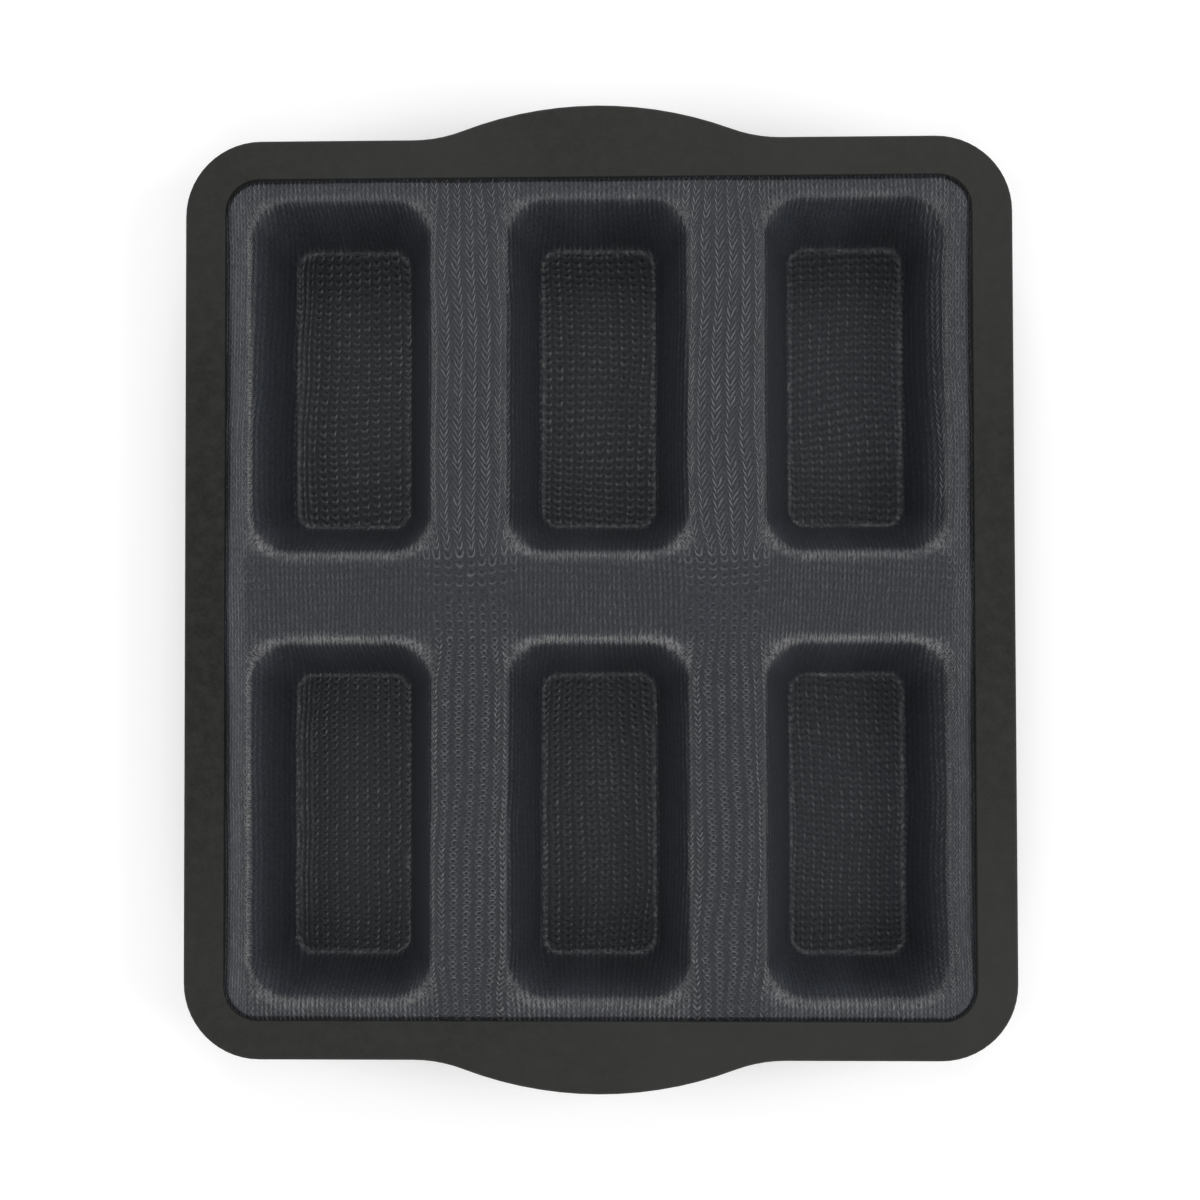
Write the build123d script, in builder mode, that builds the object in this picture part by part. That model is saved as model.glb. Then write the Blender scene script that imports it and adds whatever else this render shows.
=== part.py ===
from build123d import *
import os
from math import cos, radians, tan

# Baguette tray: six deep wells formed in one knitted, silicone-coated liner, whose edge is
# held in a two-layer silicone rim with a flat steel frame inside it.
# Millimetres. +X runs across the three columns of wells, +Y towards the back handle lobe,
# +Z up. The origin is in the middle of the tray, on the surface that the wells stand on.

# Wells: three columns across X, two rows along Y.
COLUMN_NAMES = ("left", "middle", "right")
ROW_NAMES = ("front", "back")
COLUMN_PITCH = 91.6
ROW_PITCH = 158.2
FLOOR_WIDTH = 42.6
FLOOR_LENGTH = 104.0
FLOOR_CORNER_RADIUS = 3.2
FLOOR_EDGE_RADIUS = 2.4
WELL_DEPTH = 31.5
WALL_DRAFT = 19.2
SHOULDER_RADIUS = 4.0
SHOULDER_REACH = 4.5

# Liner sheet: its thickness, and how far its edge is tucked in under the rim.
LINER_THICKNESS = 1.0
LINER_TUCK = 6.0

# Rim outline, seen from above.
RIM_WIDTH = 294.0
RIM_LENGTH = 326.6
RIM_CORNER_RADIUS = 27.0
OPENING_WIDTH = 265.4
OPENING_LENGTH = 299.0
OPENING_CORNER_RADIUS = 12.0
LOBE_RISE = 11.9
LOBE_RADIUS = 136.0
LOBE_BLEND_RADIUS = 50.0

# Rim section. The two layers meet level with the underside of the liner's land.
RIM_ABOVE_LAND = 1.3
RIM_LOWER_THICKNESS = 2.9
RIM_OUTER_ROUNDING = 1.1
RIM_INNER_ROUNDING = 0.4

# Steel frame, covered by silicone all round, and the holes that the silicone fills.
STEEL_THICKNESS = 1.2
STEEL_OUTER_COVER = 2.75
STEEL_INNER_COVER = 3.05
LOCK_HOLE_RADIUS = 2.0
LOCK_HOLE_INSET = 5.5
SIDE_HOLE_PITCH = 25.0
SIDE_HOLE_COUNT = 11
END_HOLE_PITCH = 20.0
END_HOLE_FIRST = 78.0
END_HOLE_COUNT = 2
LOBE_HOLE_STEP = 9.0
LOBE_HOLE_COUNT = 5

# Heights that follow from the sizes above.
FLOOR_TOP = LINER_THICKNESS
LAND_TOP = FLOOR_TOP + WELL_DEPTH
PARTING = LAND_TOP - LINER_THICKNESS
RIM_TOP = LAND_TOP + RIM_ABOVE_LAND
RIM_BOTTOM = PARTING - RIM_LOWER_THICKNESS
STEEL_BOTTOM = PARTING - STEEL_THICKNESS

# Plan sizes that follow. The wells lean outwards at one draft all round, so every level of
# a well is the floor outline grown by the same amount on each side.
DRAFT_SLOPE = tan(radians(WALL_DRAFT))
WALL_ACROSS = LINER_THICKNESS / cos(radians(WALL_DRAFT))
FLOOR_UNDERSIDE_GROWTH = WALL_ACROSS - LINER_THICKNESS * DRAFT_SLOPE
MOUTH_GROWTH = WELL_DEPTH * DRAFT_SLOPE
SEAM_GROWTH = MOUTH_GROWTH + SHOULDER_REACH
WELL_CENTRES = {
    (column, row): ((i - 1) * COLUMN_PITCH, (j - 0.5) * ROW_PITCH)
    for i, column in enumerate(COLUMN_NAMES)
    for j, row in enumerate(ROW_NAMES)
}


# The rim's outside: a rounded rectangle with one shallow handle lobe on each short side.
with BuildSketch(Plane.XY) as rim_outline:
    RectangleRounded(RIM_WIDTH, RIM_LENGTH, RIM_CORNER_RADIUS)
    with Locations((0, RIM_LENGTH / 2 + LOBE_RISE - LOBE_RADIUS)):
        Circle(LOBE_RADIUS)
    with Locations((0, LOBE_RADIUS - LOBE_RISE - RIM_LENGTH / 2)):
        Circle(LOBE_RADIUS)
    lobe_roots = rim_outline.vertices().filter_by(lambda v: abs(v.X) < LOBE_RADIUS / 2)
    fillet(lobe_roots, radius=LOBE_BLEND_RADIUS)


# The steel frame's plan: it follows the rim's outside, and its window is a rounded rectangle.
with BuildSketch(Plane.XY) as steel_plan:
    add(rim_outline.sketch)
    offset(amount=-STEEL_OUTER_COVER, mode=Mode.REPLACE)
    RectangleRounded(
        OPENING_WIDTH + 2 * STEEL_INNER_COVER,
        OPENING_LENGTH + 2 * STEEL_INNER_COVER,
        OPENING_CORNER_RADIUS + STEEL_INNER_COVER,
        mode=Mode.SUBTRACT,
    )
    with GridLocations(RIM_WIDTH - 2 * LOCK_HOLE_INSET, SIDE_HOLE_PITCH, 2, SIDE_HOLE_COUNT):
        Circle(LOCK_HOLE_RADIUS, mode=Mode.SUBTRACT)
    for i in range(END_HOLE_COUNT):
        hole_gap = 2 * (END_HOLE_FIRST + i * END_HOLE_PITCH)
        with GridLocations(hole_gap, RIM_LENGTH - 2 * LOCK_HOLE_INSET, 2, 2):
            Circle(LOCK_HOLE_RADIUS, mode=Mode.SUBTRACT)
    for side in (1, -1):
        lobe_centre = side * (RIM_LENGTH / 2 + LOBE_RISE - LOBE_RADIUS)
        first_angle = side * 90 - LOBE_HOLE_STEP * (LOBE_HOLE_COUNT - 1) / 2
        with Locations((0, lobe_centre)):
            with PolarLocations(
                LOBE_RADIUS - LOCK_HOLE_INSET,
                LOBE_HOLE_COUNT,
                start_angle=first_angle,
                angular_range=LOBE_HOLE_STEP * LOBE_HOLE_COUNT,
            ):
                Circle(LOCK_HOLE_RADIUS, mode=Mode.SUBTRACT)


def build_rim_upper():
    """Upper silicone layer, with a shallow step underneath that takes the liner's edge."""
    with BuildPart() as rim_upper:
        with BuildSketch(Plane.XY.offset(PARTING)):
            add(rim_outline.sketch)
        extrude(amount=RIM_TOP - PARTING)
        outer_edge = rim_upper.faces().sort_by(Axis.Z)[-1].edges()
        fillet(outer_edge, radius=RIM_OUTER_ROUNDING)
        with BuildSketch(Plane.XY.offset(PARTING)):
            RectangleRounded(OPENING_WIDTH, OPENING_LENGTH, OPENING_CORNER_RADIUS)
        extrude(amount=RIM_TOP - PARTING, mode=Mode.SUBTRACT)
        top_face = rim_upper.faces().filter_by(Axis.Z).sort_by(Axis.Z)[-1]
        fillet(top_face.inner_wires()[0].edges(), radius=RIM_INNER_ROUNDING)
        with BuildSketch(Plane.XY.offset(PARTING)):
            RectangleRounded(
                OPENING_WIDTH + 2 * LINER_TUCK,
                OPENING_LENGTH + 2 * LINER_TUCK,
                OPENING_CORNER_RADIUS + LINER_TUCK,
            )
        extrude(amount=LINER_THICKNESS, mode=Mode.SUBTRACT)
    rim_upper.part.label = "rim_upper"
    return rim_upper.part


def build_rim_lower():
    """Lower silicone layer, with the steel frame's pocket and the pegs that fill its holes."""
    with BuildPart() as rim_lower:
        with BuildSketch(Plane.XY.offset(RIM_BOTTOM)):
            add(rim_outline.sketch)
        extrude(amount=PARTING - RIM_BOTTOM)
        outer_edge = rim_lower.faces().sort_by(Axis.Z)[0].edges()
        fillet(outer_edge, radius=RIM_OUTER_ROUNDING)
        with BuildSketch(Plane.XY.offset(RIM_BOTTOM)):
            RectangleRounded(OPENING_WIDTH, OPENING_LENGTH, OPENING_CORNER_RADIUS)
        extrude(amount=PARTING - RIM_BOTTOM, mode=Mode.SUBTRACT)
        bottom_face = rim_lower.faces().filter_by(Axis.Z).sort_by(Axis.Z)[0]
        fillet(bottom_face.inner_wires()[0].edges(), radius=RIM_INNER_ROUNDING)
        with BuildSketch(Plane.XY.offset(STEEL_BOTTOM)):
            add(steel_plan.sketch)
        extrude(amount=STEEL_THICKNESS, mode=Mode.SUBTRACT)
    rim_lower.part.label = "rim_lower"
    return rim_lower.part


def build_steel_frame():
    """Flat stamped frame that keeps the rim stiff, with lock holes round its outer side."""
    with BuildPart() as steel_frame:
        with BuildSketch(Plane.XY.offset(STEEL_BOTTOM)):
            add(steel_plan.sketch)
        extrude(amount=STEEL_THICKNESS)
    steel_frame.part.label = "steel_frame"
    return steel_frame.part


def build_liner_land():
    """The liner's flat land: between and round the wells, and in under the rim."""
    with BuildPart() as liner_land:
        with BuildSketch(Plane.XY.offset(PARTING)):
            RectangleRounded(
                OPENING_WIDTH + 2 * LINER_TUCK,
                OPENING_LENGTH + 2 * LINER_TUCK,
                OPENING_CORNER_RADIUS + LINER_TUCK,
            )
            with GridLocations(COLUMN_PITCH, ROW_PITCH, len(COLUMN_NAMES), len(ROW_NAMES)):
                RectangleRounded(
                    FLOOR_WIDTH + 2 * SEAM_GROWTH,
                    FLOOR_LENGTH + 2 * SEAM_GROWTH,
                    FLOOR_CORNER_RADIUS + SEAM_GROWTH,
                    mode=Mode.SUBTRACT,
                )
        extrude(amount=LINER_THICKNESS)
    liner_land.part.label = "liner_land"
    return liner_land.part


def build_well_form(centre, floor_level, land_level, growth, edge_radius, shoulder_radius):
    """A solid well form: a drafted plug, rounded at its foot, that flares into a flat slab."""
    with BuildPart() as form:
        with BuildSketch(Plane.XY.offset(floor_level)):
            with Locations(centre):
                RectangleRounded(
                    FLOOR_WIDTH + 2 * growth,
                    FLOOR_LENGTH + 2 * growth,
                    FLOOR_CORNER_RADIUS + growth,
                )
        extrude(amount=land_level - floor_level, taper=-WALL_DRAFT)
        with BuildSketch(Plane.XY.offset(land_level)):
            with Locations(centre):
                RectangleRounded(
                    FLOOR_WIDTH + 2 * SEAM_GROWTH,
                    FLOOR_LENGTH + 2 * SEAM_GROWTH,
                    FLOOR_CORNER_RADIUS + SEAM_GROWTH,
                )
        extrude(amount=LINER_THICKNESS)
        foot = form.faces().sort_by(Axis.Z)[0]
        fillet(foot.edges(), radius=edge_radius)
        ledge = form.faces().filter_by(Axis.Z).filter_by_position(
            Axis.Z, land_level, land_level
        )[0]
        fillet(ledge.inner_wires()[0].edges(), radius=shoulder_radius)
    return form.part


def build_well(column, row):
    """One formed well: the gap between its outer and its inner form, one sheet thick."""
    centre = WELL_CENTRES[column, row]
    outside = build_well_form(
        centre,
        0,
        PARTING,
        FLOOR_UNDERSIDE_GROWTH,
        FLOOR_EDGE_RADIUS + LINER_THICKNESS,
        SHOULDER_RADIUS - LINER_THICKNESS,
    )
    inside = build_well_form(
        centre, FLOOR_TOP, LAND_TOP, 0, FLOOR_EDGE_RADIUS, SHOULDER_RADIUS
    )
    with BuildPart() as well:
        add(outside)
        add(inside, mode=Mode.SUBTRACT)
    well.part.label = f"liner_well_{row}_{column}"
    return well.part


parts = [build_rim_upper(), build_rim_lower(), build_steel_frame(), build_liner_land()]
parts += [build_well(column, row) for column, row in WELL_CENTRES]

os.makedirs("parts", exist_ok=True)
for part in parts:
    export_step(part, f"parts/{part.label}.step")
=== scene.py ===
import math

import bpy
import numpy as np
from mathutils import Matrix, Vector


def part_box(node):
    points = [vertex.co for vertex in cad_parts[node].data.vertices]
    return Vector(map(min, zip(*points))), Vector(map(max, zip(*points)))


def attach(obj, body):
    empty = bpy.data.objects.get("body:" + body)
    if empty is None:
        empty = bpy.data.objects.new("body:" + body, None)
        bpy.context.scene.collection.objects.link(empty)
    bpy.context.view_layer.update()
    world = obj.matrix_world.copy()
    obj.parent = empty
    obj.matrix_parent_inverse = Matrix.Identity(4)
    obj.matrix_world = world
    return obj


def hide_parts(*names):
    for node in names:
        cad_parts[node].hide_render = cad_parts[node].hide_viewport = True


# Looks of the baguette tray. The liner's mesh is worked out in millimetres and scaled once,
# when it becomes a Blender mesh. Lengths in the materials and the studio are in metres unless
# a name ends in _MM.

MM = 0.001
SEED = 7

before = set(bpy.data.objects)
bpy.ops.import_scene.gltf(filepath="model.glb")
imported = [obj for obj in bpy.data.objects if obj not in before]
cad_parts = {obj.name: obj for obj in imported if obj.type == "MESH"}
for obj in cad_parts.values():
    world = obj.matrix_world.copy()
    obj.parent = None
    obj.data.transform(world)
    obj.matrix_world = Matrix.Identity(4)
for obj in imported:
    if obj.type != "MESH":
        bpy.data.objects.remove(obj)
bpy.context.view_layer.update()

# ---------------------------------------------------------------- sizes from the frame

COLUMNS = ("left", "middle", "right")
ROWS = ("front", "back")
WELLS = [f"liner_well_{row}_{column}" for row in ROWS for column in COLUMNS]

# What the frame's boxes don't give. The seam with the land lies SHOULDER_REACH outside a well's
# mouth.
THICKNESS = 1.0
WALL_DRAFT = math.radians(19.2)
SHOULDER_REACH = 4.5
# A well's outline is its floor's outline grown outward. FOOT_CORNER_RADIUS rounds the outline
# that is grown at the foot of the walls, and FLOOR_CORNER_RADIUS the one at the mouth.
FOOT_CORNER_RADIUS = 6.5
FLOOR_CORNER_RADIUS = 3.2
FLOOR_EDGE_RADIUS = 2.4
LONG_SHOULDER_RADIUS = 1.7
END_SHOULDER_RADIUS = 4.6
CORNER_PATH_RADIUS = 12.0
LINER_TUCK = 6.0
LINER_CORNER_RADIUS = 18.0
OPENING_CORNER_RADIUS = 12.0
GROOVE_DEPTH = 0.9
# How far the outer long walls bow in at the middle, on the left and on the right.
OUTER_BOW = (0.2, 0.5)


def box_mm(node):
    """Lowest and highest corner of a CAD node, in millimetres."""
    low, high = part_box(node)
    return np.array(low) / MM, np.array(high) / MM


LAND_LOW, LAND_HIGH = box_mm("liner_land")
LAND_TOP = LAND_HIGH[2]
WELL_DEPTH = LAND_TOP - THICKNESS
WALL_RUN = WELL_DEPTH * math.tan(WALL_DRAFT)
WELL_BOXES = {name: box_mm(name) for name in WELLS}
WELL_CENTRES = {name: (low + high) / 2 for name, (low, high) in WELL_BOXES.items()}
SEAM_HALF = (WELL_BOXES[WELLS[0]][1] - WELL_BOXES[WELLS[0]][0])[:2] / 2
FLOOR_HALF = SEAM_HALF - WALL_RUN - SHOULDER_REACH
MOUTH_HALF = FLOOR_HALF + WALL_RUN
COLUMN_PITCH = WELL_CENTRES[WELLS[1]][0] - WELL_CENTRES[WELLS[0]][0]
ROW_PITCH = WELL_CENTRES[WELLS[3]][1] - WELL_CENTRES[WELLS[0]][1]
OPENING_HALF = LAND_HIGH[:2] - LINER_TUCK

# The land's own relief: it sags along the sides and rises a little along the crossbar, by
# twice CROWN.
SIDE_SAG, SIDE_SAG_REACH = 0.9, 8.2
CROWN, CROWN_HALF_WIDTH = 0.22, 15.0
BROAD_WANDER, FINE_WANDER = 0.20, 0.06

# Softness of a shoulder is 0 for the long sides' radius and 1 for the ends' radius.
BACK_END_CRISPER = 0.65
RIGHT_SIDE_SOFTER = 1.1

# The outer walls fill out above the straight draft, and the floors bulge a little.
PLUMP_SLOPE, PLUMP_SHARE, PLUMP_MOST = 1.3, 0.35, 3.0
FLOOR_BULGE = 0.12


# ---------------------------------------------------------------- small helpers


def smooth(low, high, x):
    """Smooth step from 0 at low to 1 at high."""
    t = np.clip((x - low) / (high - low), 0, 1)
    return t * t * (3 - 2 * t)


def bump_at(centre, width, x):
    """A smooth bump, 1 at centre and near 0 one width away."""
    return np.exp(-(((x - centre) / width) ** 2) * 2)


def gentle_noise(x, y, scale, seed, waves=7):
    """Smooth seeded noise of about -1 to 1: a few plane waves near one wavelength."""
    rng = np.random.default_rng(seed)
    total = np.zeros(np.broadcast(x, y).shape)
    for _ in range(waves):
        angle, phase = rng.uniform(0, 2 * math.pi, 2)
        length = scale * rng.uniform(0.6, 1.7)
        along = x * math.cos(angle) + y * math.sin(angle)
        total += np.sin(2 * math.pi * along / length + phase)
    return total / math.sqrt(waves)


# ---------------------------------------------------------------- liner shape


def nearest_column(x):
    """The centre line of the nearest column of wells."""
    return np.clip(np.round(x / COLUMN_PITCH), -1, 1) * COLUMN_PITCH


def nearest_row(y):
    """The centre line of the nearest row of wells."""
    return np.where(y > 0, 0.5, -0.5) * ROW_PITCH


def off_well(x, y):
    """Distance from the centre lines of the nearest column and row of wells."""
    return np.abs(x - nearest_column(x)), np.abs(y - nearest_row(y))


def outer_wall_share(x):
    """0 to 1 up the wells' outer long walls, those beside the rim."""
    return smooth(COLUMN_PITCH + FLOOR_HALF[0], COLUMN_PITCH + MOUTH_HALF[0], np.abs(x))


def outer_side_share(x, y):
    """The same, along the straight of those walls and not round their corners."""
    past_straight = smooth(FLOOR_HALF[1] - 2, FLOOR_HALF[1] + 8, off_well(x, y)[1])
    return outer_wall_share(x) * (1 - past_straight)


def right_column_share(x):
    """1 on the outer half of the right column of wells and beyond."""
    return smooth(COLUMN_PITCH, COLUMN_PITCH + 5, x)


def back_row_share(y):
    """1 in the back row and 0 in the front row."""
    return smooth(-12, 12, y)


def front_end_share(y):
    """0 to 1 up the front end walls of the front wells."""
    return smooth(0, 1, (-y - ROW_PITCH / 2 - FLOOR_HALF[1]) / WALL_RUN)


def outline_distance(off_x, off_y, radius):
    """Distance outside a floor's outline, with the sizes that it came from."""
    straight = FLOOR_HALF - radius
    qx, qy = off_x - straight[0], off_y - straight[1]
    outside = np.hypot(np.maximum(qx, 0), np.maximum(qy, 0))
    return outside + np.minimum(np.maximum(qx, qy), 0) - radius, straight, qx, qy


def well_place(x, y):
    """Where each point lies about its nearest well, seen from above.

    d is the distance outside the floor's outline, negative inside. around runs round the well
    from the middle of a long side to the middle of an end. end is 0 along the long sides, 1
    along the ends and between the two round the corners.
    """
    off_x, off_y = off_well(x, y)
    mouth_d, straight, qx, qy = outline_distance(off_x, off_y, FLOOR_CORNER_RADIUS)
    foot_d, _, _, _ = outline_distance(off_x, off_y, FOOT_CORNER_RADIUS)
    upward = smooth(0, WALL_RUN, mouth_d)
    d = foot_d + (mouth_d - foot_d) * upward
    side_start, side_end = COLUMN_PITCH + FLOOR_HALF[0] - 2, COLUMN_PITCH + MOUTH_HALF[0] - 4
    bow = sum(b * smooth(side_start, side_end, s * x) for b, s in zip(OUTER_BOW, (-1, 1)))
    d = d + bow * upward * (1 - smooth(10, MOUTH_HALF[1], off_y))
    px, py = np.maximum(qx, 0), np.maximum(qy, 0)
    turn = np.arctan2(py, px + 1e-9)
    corner = straight[1] + CORNER_PATH_RADIUS * turn
    past = corner + np.minimum(-qx, straight[0]) * (qx < 0)
    around = np.where(qy > 0, past, off_y)
    end = smooth(0.1, 1.3, turn)
    return d, around, end


def wall_height(d, shoulder_radius):
    """Height above the well floor at distance d outside the floor's outline."""
    turn = math.pi / 2 - WALL_DRAFT
    foot = FLOOR_EDGE_RADIUS * math.tan(turn / 2)
    top = shoulder_radius * math.tan(turn / 2)
    z = np.clip(d / math.tan(WALL_DRAFT), 0, WELL_DEPTH)
    in_foot = (d > -foot) & (d < foot * math.cos(turn))
    foot_z = FLOOR_EDGE_RADIUS - np.sqrt(
        np.maximum(FLOOR_EDGE_RADIUS**2 - (d + foot) ** 2, 0)
    )
    in_top = (d > WALL_RUN - top * math.cos(turn)) & (d < WALL_RUN + top)
    top_z = WELL_DEPTH - shoulder_radius + np.sqrt(
        np.maximum(shoulder_radius**2 - (WALL_RUN + top - d) ** 2, 0)
    )
    z = np.where(in_foot, foot_z, z)
    return np.where(in_top, top_z, z)


def rim_gap(x, y):
    """Distance in from the rim's inner edge, negative under the rim."""
    corner = OPENING_HALF - OPENING_CORNER_RADIUS
    qx, qy = np.abs(x) - corner[0], np.abs(y) - corner[1]
    outside = np.hypot(np.maximum(qx, 0), np.maximum(qy, 0))
    return OPENING_CORNER_RADIUS - outside - np.minimum(np.maximum(qx, qy), 0)


def along_wells(y):
    """1 beside the middle of each row of wells, 0 at the crossbar and past the far ends."""
    return smooth(16, 40, np.abs(y)) * (1 - smooth(120, 146, np.abs(y)))


def land_relief(x, y):
    """How far the land stands off its flat level."""
    groove = -GROOVE_DEPTH * (1 - smooth(0.2, 1.5, rim_gap(x, y)))
    strip = OPENING_HALF[0] - np.abs(x)
    side_sag = -SIDE_SAG * along_wells(y) * (1 - smooth(0.0, SIDE_SAG_REACH, strip))
    crown = CROWN * (1 + np.cos(math.pi * np.clip(y / CROWN_HALF_WIDTH, -1, 1)))
    broad = BROAD_WANDER * gentle_noise(x, y, 60, SEED)
    return groove + side_sag + crown + broad + FINE_WANDER * gentle_noise(x, y, 18, SEED + 9)


def liner_height(x, y):
    """Height of the liner's upper surface, before its stitches are raised."""
    d, _, end = well_place(x, y)
    softer = right_column_share(x) * (1 - end)
    back_end = end * smooth(0, 10, y - ROW_PITCH / 2)
    softness = end - BACK_END_CRISPER * back_end + RIGHT_SIDE_SOFTER * softer
    radius = LONG_SHOULDER_RADIUS + (END_SHOULDER_RADIUS - LONG_SHOULDER_RADIUS) * softness
    fall = WALL_RUN - d
    plump = PLUMP_SHARE * (WELL_DEPTH / WALL_RUN - PLUMP_SLOPE) * np.maximum(fall, 0)
    plump = plump * bump_at(WALL_RUN * 0.72, WALL_RUN * 0.62, d) * outer_side_share(x, y)
    stand_off = land_relief(x, y) * smooth(3, 10, d) + np.minimum(plump, PLUMP_MOST)
    bulge = FLOOR_BULGE * gentle_noise(x, y, 40, SEED + 10) * (1 - smooth(-6, -1, d))
    return THICKNESS + wall_height(d, radius) + stand_off + np.maximum(bulge, 0)


# ---------------------------------------------------------------- knit coordinates

# Widths of a wale and a course of the cloth in each zone, in millimetres. The outermost
# BAR_EDGE of a bar has wales of its own width, and a long wall holds WALES_PER_WALL wales.
BAR_WALE, CROSS_WALE, SIDE_WALE = 4.9, 3.9, 2.1
BAR_EDGE_WALE, BAR_EDGE = 3.3, 3.6
WALES_PER_WALL = 4.6
FLOOR_WALES = {"left": 3.9, "middle": 4.2, "right": 3.5}
BAR_COURSE = {"front": 2.0, "back": 2.5}
FLOOR_COURSE = {"front": 2.6, "back": 2.85}
CROSS_COURSE = 2.9
# Wales and courses are counted along lines that start and end beyond the liner.
LINER_START, LINER_END = -200.0, 200.0
CORNER_ROUNDING = 1.6


def running_total(stretches):
    """Knots of a rising line from (end, rise) stretches that follow each other."""
    places, counts = [LINER_START], [0.0]
    for end, rise in stretches:
        places.append(end)
        counts.append(counts[-1] + rise)
    return np.array(places), np.array(counts)


def wales_across(over_wells):
    """Wale count against x, through the wells or along the crossbar between the rows."""
    mouth, floor = MOUTH_HALF[0], FLOOR_HALF[0]
    bar = COLUMN_PITCH - 2 * mouth
    in_bar = 2 * BAR_EDGE / BAR_EDGE_WALE + (bar - 2 * BAR_EDGE) / BAR_WALE
    gained = bar / CROSS_WALE - in_bar
    stretches, at = [], LINER_START
    for column, name in zip(COLUMNS, WELLS):
        start, end = WELL_CENTRES[name][0] - mouth, WELL_CENTRES[name][0] + mouth
        in_floor = 2 * floor / FLOOR_WALES[column]
        if column == "left":
            stretches.append((start, (start - at) / SIDE_WALE))
        elif over_wells:
            stretches.append((at + BAR_EDGE, BAR_EDGE / BAR_EDGE_WALE))
            stretches.append((start - BAR_EDGE, (bar - 2 * BAR_EDGE) / BAR_WALE))
            stretches.append((start, BAR_EDGE / BAR_EDGE_WALE))
        else:
            stretches.append((start, bar / CROSS_WALE))
        if over_wells:
            stretches.append((start + WALL_RUN, WALES_PER_WALL))
            stretches.append((end - WALL_RUN, in_floor))
            stretches.append((end, WALES_PER_WALL))
        else:
            lost = gained * (1.0 if column == "middle" else 0.5)
            stretches.append((end, 2 * WALES_PER_WALL + in_floor - lost))
        at = end
    stretches.append((LINER_END, (LINER_END - at) / SIDE_WALE))
    return running_total(stretches)


def courses_along(over_wells):
    """Course count against y, down the middle of a column of wells or along a bar."""
    mouth, floor = MOUTH_HALF[1], FLOOR_HALF[1]
    stretches, at = [], LINER_START
    for row, name in zip(ROWS, (WELLS[0], WELLS[len(COLUMNS)])):
        start, end = WELL_CENTRES[name][1] - mouth, WELL_CENTRES[name][1] + mouth
        in_bar = 2 * mouth / BAR_COURSE[row]
        in_floor = 2 * floor / FLOOR_COURSE[row]
        in_wall = (in_bar - in_floor) / 2
        pitch = BAR_COURSE[row] if row == "front" else CROSS_COURSE
        stretches.append((start, (start - at) / pitch))
        if over_wells:
            stretches.append((start + WALL_RUN, in_wall))
            stretches.append((end - WALL_RUN, in_floor))
            stretches.append((end, in_wall))
        else:
            stretches.append((end, in_bar))
        at = end
    stretches.append((LINER_END, (LINER_END - at) / BAR_COURSE["back"]))
    return running_total(stretches)


def soften(places, counts, x, reach):
    """A knotted line read with its corners rounded over a reach each side."""
    offsets = np.linspace(-reach, reach, 9)
    return sum(np.interp(x + o, places, counts) for o in offsets) / len(offsets)


def knit_coordinates(x, y):
    """Wale and course number of the cloth over every point of the plan."""
    off_x, off_y = off_well(x, y)
    in_row = 1 - smooth(FLOOR_HALF[1] - 6, MOUTH_HALF[1] + 3, off_y)
    in_column = 1 - smooth(FLOOR_HALF[0] - 4, MOUTH_HALF[0] + 2, off_x)
    u_well, u_cross = (soften(*wales_across(o), x, CORNER_ROUNDING) for o in (True, False))
    v_well, v_bar = (soften(*courses_along(o), y, CORNER_ROUNDING) for o in (True, False))
    u = u_cross + (u_well - u_cross) * in_row
    v = v_bar + (v_well - v_bar) * in_column
    u += 0.30 * gentle_noise(x, y, 95, SEED + 1) + 0.06 * gentle_noise(x, y, 30, SEED + 2)
    v += 0.60 * gentle_noise(x, y, 80, SEED + 3) + 0.15 * gentle_noise(x, y, 28, SEED + 4)
    u += 0.022 * gentle_noise(x, y, 6, SEED + 6, 24)
    v += 0.085 * gentle_noise(x, y, 5, SEED + 7, 24)
    return u, v


# ---------------------------------------------------------------- how the knit lies

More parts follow.
